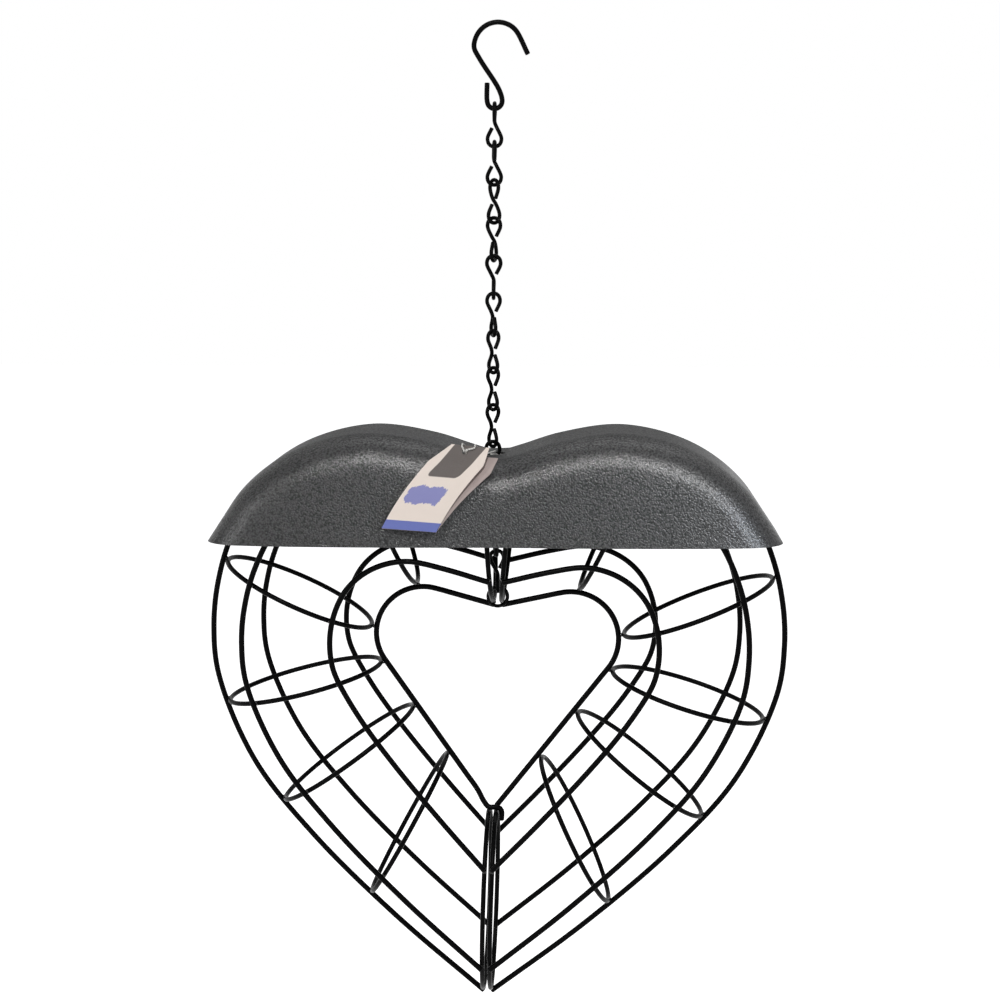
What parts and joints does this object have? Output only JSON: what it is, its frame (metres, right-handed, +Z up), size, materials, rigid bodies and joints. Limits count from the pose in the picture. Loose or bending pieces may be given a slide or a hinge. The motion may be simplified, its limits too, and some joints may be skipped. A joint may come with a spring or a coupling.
{
  "type": "suet feeder",
  "caption": "Hanging heart-shaped wire cage for suet balls, in two halves that swing apart, under a sheet-metal roof that slides up a jack chain with an S-hook.",
  "frame": {"origin": "the inside of the S-hook's large bend, where it bears on what it hangs from", "axes": "+Z up along the chain, +X to the right across the heart, the front with the tag faces -Y"},
  "size_m": [0.2778, 0.0866, 0.4699],
  "materials": {
    "black_paint": "gloss black",
    "hammered_paint": "hammered dark grey",
    "card": "printed card",
    "thread": "plain white cotton"
  },
  "bodies": {
    "hook": {"s_hook": "black_paint"},
    "link_1": {"chain_link_01": "black_paint"},
    "link_2": {"chain_link_02": "black_paint"},
    "link_3": {"chain_link_03": "black_paint"},
    "link_4": {"chain_link_04": "black_paint"},
    "link_5": {"chain_link_05": "black_paint"},
    "link_6": {"chain_link_06": "black_paint"},
    "link_7": {"chain_link_07": "black_paint"},
    "link_8": {"chain_link_08": "black_paint"},
    "link_9": {"chain_link_09": "black_paint"},
    "feeder_frame": {"chain_link_10": "black_paint", "chain_link_11": "black_paint", "chain_link_12": "black_paint", "chain_link_13": "black_paint", "hanging_ring": "black_paint"},
    "roof_cover": {"roof": "hammered_paint", "tag_thread": "thread"},
    "left_half": {"left_outer_wire": "black_paint", "left_front_outer_wire": "black_paint", "left_front_inner_wire": "black_paint", "left_inner_wire": "black_paint", "left_back_inner_wire": "black_paint", "left_back_outer_wire": "black_paint", "left_tip_oval": "black_paint", "left_hoop_4": "black_paint", "left_hoop_3": "black_paint", "left_hoop_2": "black_paint", "left_hoop_1": "black_paint", "left_hoop_0": "black_paint", "left_cleft_oval": "black_paint"},
    "right_half": {"right_outer_wire": "black_paint", "right_front_outer_wire": "black_paint", "right_front_inner_wire": "black_paint", "right_inner_wire": "black_paint", "right_back_inner_wire": "black_paint", "right_back_outer_wire": "black_paint", "right_tip_oval": "black_paint", "right_hoop_4": "black_paint", "right_hoop_3": "black_paint", "right_hoop_2": "black_paint", "right_hoop_1": "black_paint", "right_hoop_0": "black_paint", "right_cleft_oval": "black_paint"},
    "tag": {"swing_tag": "card"}
  },
  "joints": [
    {"name": "hook_swing", "type": "hinge", "parent": "hook", "child": "link_1", "pos_m": [-0.0015, 0, -0.0379], "axis": [1, 0, 0], "range_deg": [-25, 25]},
    {"name": "link_2_swing", "type": "hinge", "parent": "link_1", "child": "link_2", "pos_m": [-0.00161, 0, -0.05287], "axis": [-0.1392, 0.9903, 0], "range_deg": [-25, 25]},
    {"name": "link_3_swing", "type": "hinge", "parent": "link_2", "child": "link_3", "pos_m": [-0.00172, 0, -0.07272], "axis": [0.9903, 0.1392, 0], "range_deg": [-25, 25]},
    {"name": "link_4_swing", "type": "hinge", "parent": "link_3", "child": "link_4", "pos_m": [-0.00183, 0, -0.09022], "axis": [0.766, 0.6428, 0], "range_deg": [-25, 25]},
    {"name": "link_5_swing", "type": "hinge", "parent": "link_4", "child": "link_5", "pos_m": [-0.00194, 0, -0.10773], "axis": [0.309, 0.9511, 0], "range_deg": [-25, 25]},
    {"name": "link_6_twist", "type": "hinge", "parent": "link_5", "child": "link_6", "pos_m": [-0.00206, 0, -0.12405], "axis": [0, 0, 1], "range_deg": [-50, 12]},
    {"name": "link_7_twist", "type": "hinge", "parent": "link_6", "child": "link_7", "pos_m": [-0.00217, 0, -0.14155], "axis": [0, 0, 1], "range_deg": [-50, 12]},
    {"name": "link_8_twist", "type": "hinge", "parent": "link_7", "child": "link_8", "pos_m": [-0.00228, 0, -0.15905], "axis": [0, 0, 1], "range_deg": [-30, 30]},
    {"name": "link_9_twist", "type": "hinge", "parent": "link_8", "child": "link_9", "pos_m": [-0.00239, 0, -0.17655], "axis": [0, 0, 1], "range_deg": [-28, 30]},
    {"name": "feeder_turn", "type": "hinge", "parent": "link_9", "child": "feeder_frame", "pos_m": [-0.0025, 0, -0.19405], "axis": [0, 0, 1], "range_deg": [-5, 60]},
    {"name": "roof_slide", "type": "slide", "parent": "feeder_frame", "child": "roof_cover", "axis": [0, 0, 1], "range_m": [0, 0.075]},
    {"name": "left_half_swing", "type": "hinge", "parent": "feeder_frame", "child": "left_half", "pos_m": [0, -0.00303, -0.27179], "axis": [-0.9997, 0, 0.0262], "range_deg": [0, 14.5]},
    {"name": "right_half_swing", "type": "hinge", "parent": "feeder_frame", "child": "right_half", "pos_m": [0, -0.00303, -0.27179], "axis": [0.9997, 0, -0.0262], "range_deg": [0, 14.5]},
    {"name": "tag_lift", "type": "hinge", "parent": "roof_cover", "child": "tag", "pos_m": [-0.013, -0.03759, -0.19317], "axis": [-0.9916, 0.1018, 0.0802], "range_deg": [0, 35]}
  ],
  "couplings": [
    {"joint": "left_half_swing", "follows": "roof_slide", "rad_per_m": 3.3},
    {"joint": "right_half_swing", "follows": "roof_slide", "rad_per_m": 3.3}
  ]
}
